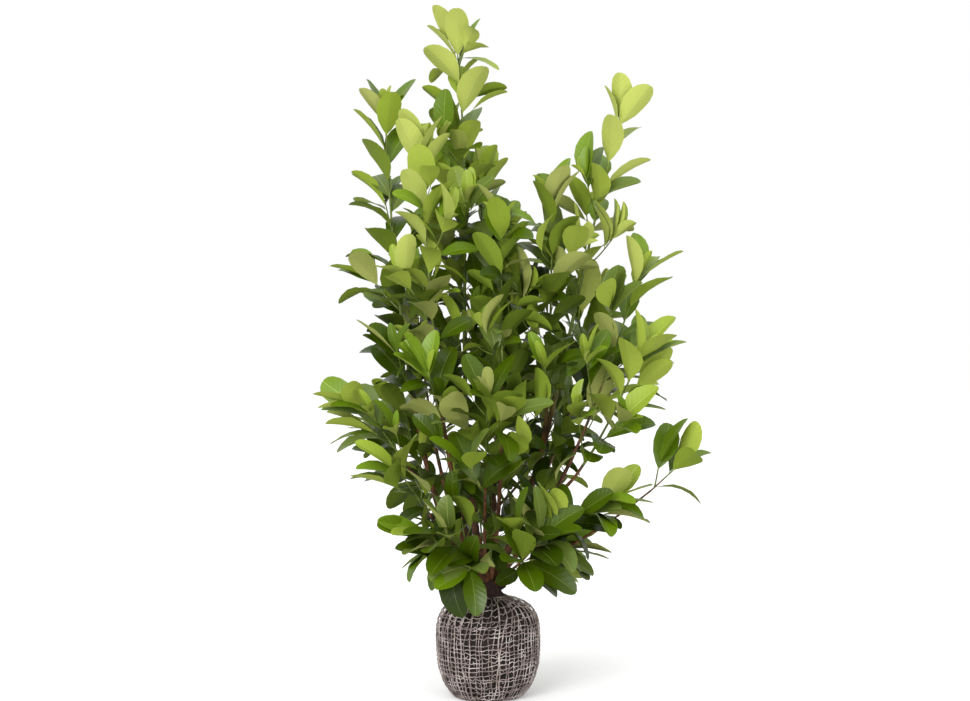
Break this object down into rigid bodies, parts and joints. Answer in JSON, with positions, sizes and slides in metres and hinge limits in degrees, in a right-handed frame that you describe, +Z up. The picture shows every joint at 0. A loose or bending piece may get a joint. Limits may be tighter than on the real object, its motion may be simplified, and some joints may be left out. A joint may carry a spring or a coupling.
{
  "type": "cherry laurel on a netted root ball",
  "caption": "Many-stemmed evergreen garden shrub with broad blunt leaves, upright, standing on a root ball wrapped in netting.",
  "frame": {"origin": "middle of the root ball's flat underside, on the ground", "axes": "+Z up along the stems, -Y towards the viewer of the picture, +X to the viewer's right"},
  "size_m": [1.0331, 0.8053, 1.7837],
  "materials": {
    "netted_soil": "matt moist soil behind pale thread netting",
    "old_bark": "satin red-brown bark",
    "young_bark": "smooth green to olive bark",
    "leaf_mid": "glossy leaf",
    "leaf_olive": "glossy leaf",
    "leaf_dark": "glossy leaf",
    "leaf_pale": "matt pale underside of a leaf"
  },
  "bodies": {
    "root": {"bough_back_left": "old_bark", "bough_back_low_left": "old_bark", "bough_back_low_right": "old_bark", "bough_back_mid": "young_bark", "bough_back_skirt": "old_bark", "bough_centre": "young_bark", "bough_centre_front": "young_bark", "bough_front_left": "old_bark", "bough_front_right": "old_bark", "bough_front_shoot": "old_bark", "bough_left_arm": "old_bark", "bough_left_leader": "old_bark", "bough_left_low": "old_bark", "bough_left_skirt": "old_bark", "bough_mid_left": "young_bark", "bough_right_arm": "old_bark", "bough_right_back": "young_bark", "bough_right_inner": "young_bark", "bough_right_leader": "young_bark", "bough_right_low": "old_bark", "bough_right_mid": "old_bark", "bough_right_outer": "old_bark", "bough_right_skirt": "old_bark", "bough_top_leader": "young_bark", "leaves_back_left": "leaf_pale", "leaves_back_low_left": "leaf_mid", "leaves_back_low_right": "leaf_olive", "leaves_back_mid": "leaf_dark", "leaves_back_skirt": "leaf_pale", "leaves_centre": "leaf_pale", "leaves_centre_front": "leaf_mid", "leaves_front_left": "leaf_dark", "leaves_front_right": "leaf_pale", "leaves_front_shoot": "leaf_olive", "leaves_left_arm": "leaf_dark", "leaves_left_leader": "leaf_mid", "leaves_left_low": "leaf_pale", "leaves_left_skirt": "leaf_mid", "leaves_mid_left": "leaf_dark", "leaves_right_arm": "leaf_dark", "leaves_right_back": "leaf_olive", "leaves_right_inner": "leaf_dark", "leaves_right_leader": "leaf_olive", "leaves_right_low": "leaf_mid", "leaves_right_mid": "leaf_mid", "leaves_right_outer": "leaf_pale", "leaves_right_skirt": "leaf_olive", "leaves_top_leader": "leaf_olive", "root_ball": "netted_soil", "stool": "old_bark"}
  },
  "joints": []
}
